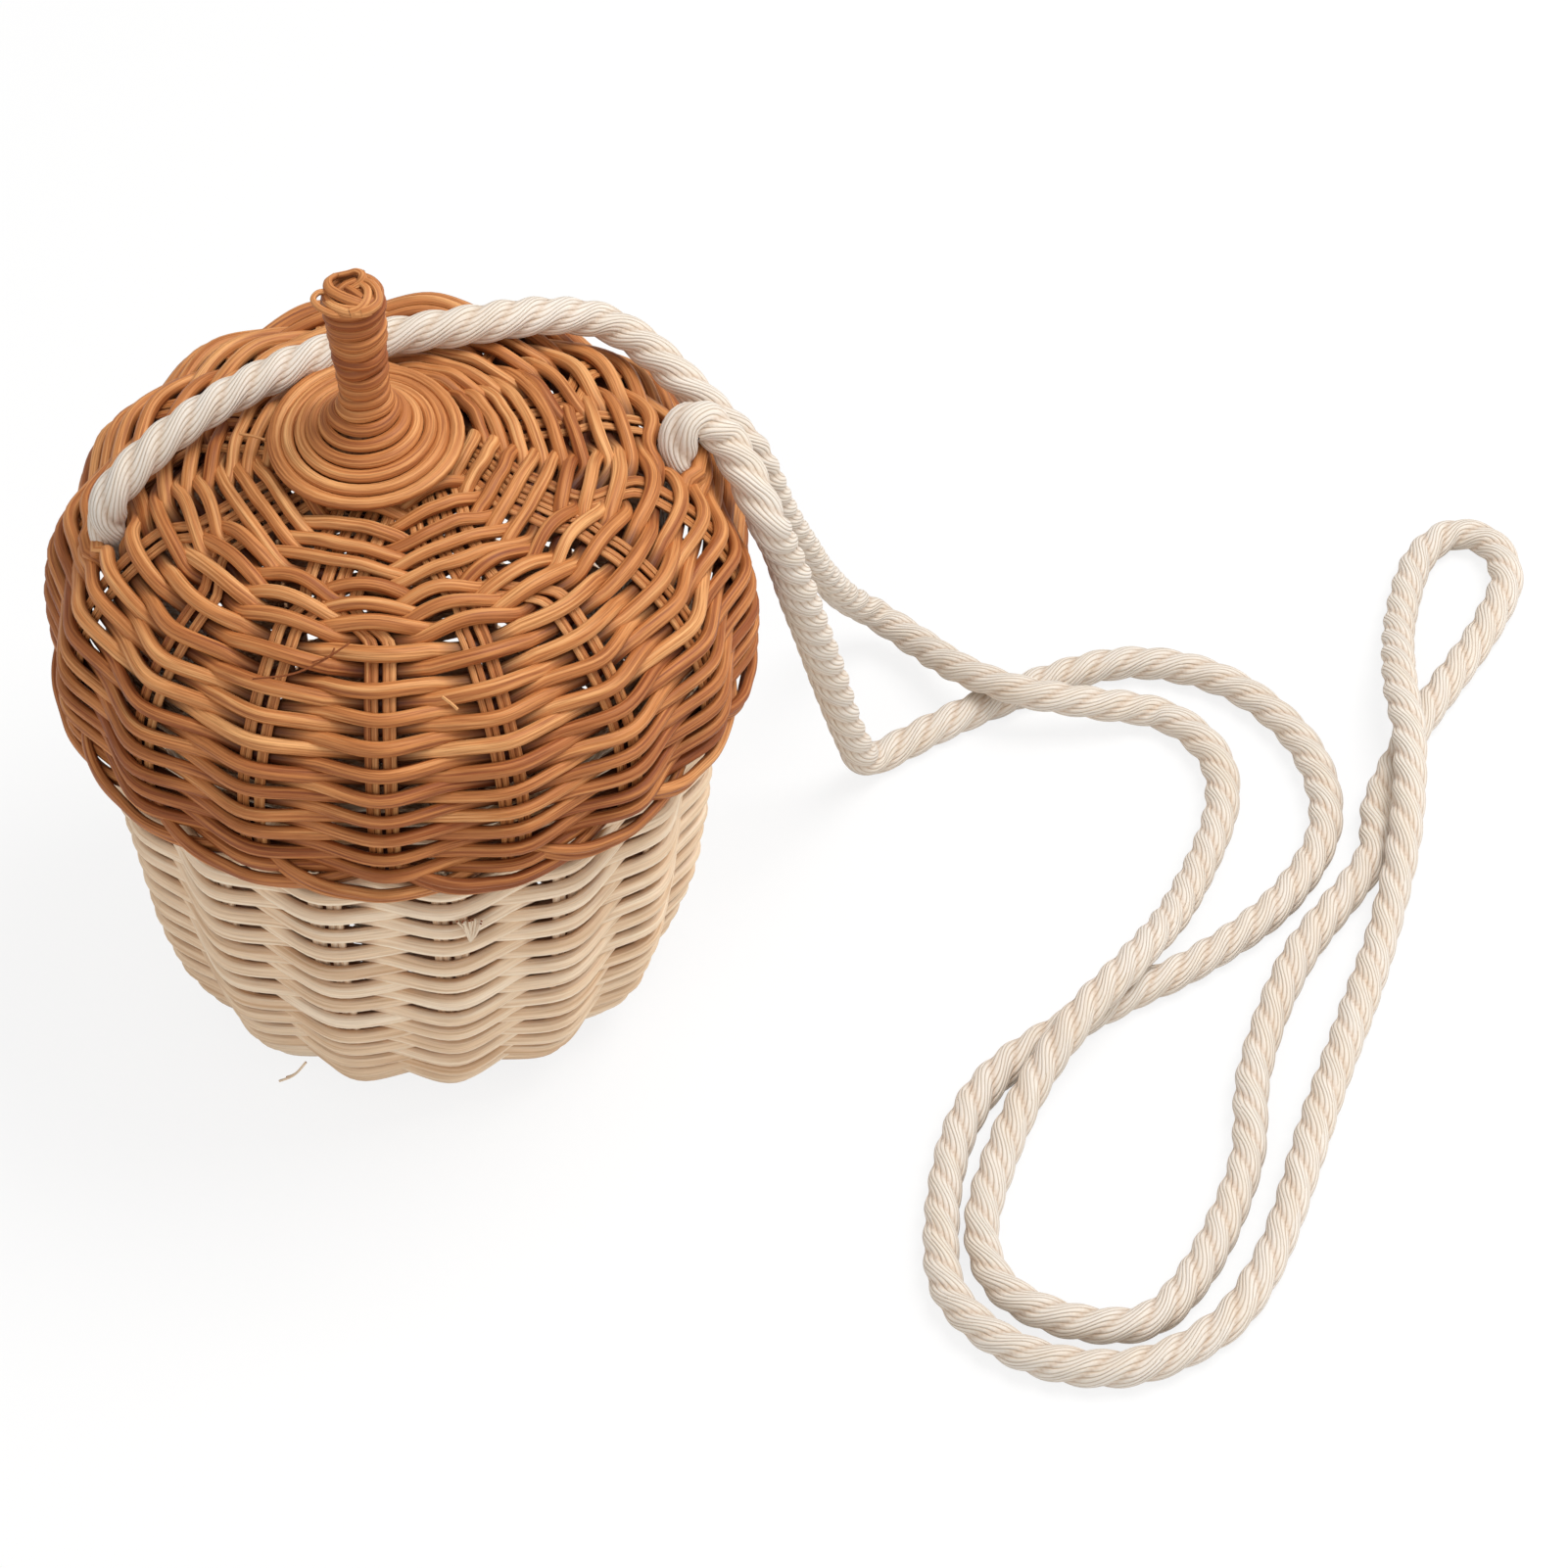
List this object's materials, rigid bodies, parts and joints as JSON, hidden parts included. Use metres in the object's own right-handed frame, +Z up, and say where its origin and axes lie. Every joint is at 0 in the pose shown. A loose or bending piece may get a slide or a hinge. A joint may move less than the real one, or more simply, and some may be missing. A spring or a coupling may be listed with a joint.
{
  "type": "acorn-shaped lidded basket",
  "caption": "Acorn-shaped woven rattan basket: a pale round cup, a honey-brown domed lid with a cane-wound stalk, and a long twisted cotton strap through the lid.",
  "frame": {"origin": "on the ground under the centre of the basket, strap left out", "axes": "+Z up through the stalk; -Y is the front of the pictured view; the strap lies on the ground on the +X side"},
  "size_m": [0.3303, 0.2585, 0.1959],
  "materials": {
    "natural_rattan": "pale peeled rattan, satin, fine lengthwise grain",
    "stained_rattan": "honey-brown stained rattan, soft gloss on the rounds",
    "inner_cane": "stained cane inside the lid",
    "cotton_rope": "natural cotton, three loosely twisted strands, matt"
  },
  "bodies": {
    "cup": {"cup_weave": "natural_rattan", "cup_stake_group_01": "natural_rattan", "cup_stake_group_02": "natural_rattan", "cup_stake_group_03": "natural_rattan", "cup_stake_group_04": "natural_rattan", "cup_stake_group_05": "natural_rattan", "cup_stake_group_06": "natural_rattan", "cup_stake_group_07": "natural_rattan", "cup_stake_group_08": "natural_rattan", "cup_stake_group_09": "natural_rattan", "cup_stake_group_10": "natural_rattan", "cup_stake_group_11": "natural_rattan", "cup_stake_group_12": "natural_rattan", "cup_stake_group_13": "natural_rattan", "cup_stake_group_14": "natural_rattan", "cup_stake_group_15": "natural_rattan", "cup_stake_group_16": "natural_rattan", "cup_base_cross": "natural_rattan", "cup_border": "natural_rattan", "strap_knot_left": "cotton_rope", "strap_knot_right": "cotton_rope", "strap_end_left": "cotton_rope", "strap_on_ground": "cotton_rope", "strap_end_right": "cotton_rope"},
    "lid": {"lid_weave": "stained_rattan", "lid_stake_group_01": "stained_rattan", "lid_stake_group_02": "stained_rattan", "lid_stake_group_03": "stained_rattan", "lid_stake_group_04": "stained_rattan", "lid_stake_group_05": "stained_rattan", "lid_stake_group_06": "stained_rattan", "lid_stake_group_07": "stained_rattan", "lid_stake_group_08": "stained_rattan", "lid_stake_group_09": "stained_rattan", "lid_stake_group_10": "stained_rattan", "lid_stake_group_11": "stained_rattan", "lid_stake_group_12": "stained_rattan", "lid_stake_group_13": "stained_rattan", "lid_stake_group_14": "stained_rattan", "lid_stake_group_15": "stained_rattan", "lid_stake_group_16": "stained_rattan", "lid_spoke_cross": "stained_rattan", "lid_border": "stained_rattan", "stalk_winding": "stained_rattan", "stalk_peg": "inner_cane", "stalk_tie": "inner_cane", "stalk_top_knot": "stained_rattan", "strap_over_lid": "cotton_rope", "strap_at_right_hole": "cotton_rope"}
  },
  "joints": [
    {"name": "lid_lift", "type": "slide", "parent": "cup", "child": "lid", "axis": [0, 0, 1], "range_m": [0, 0.12]}
  ]
}
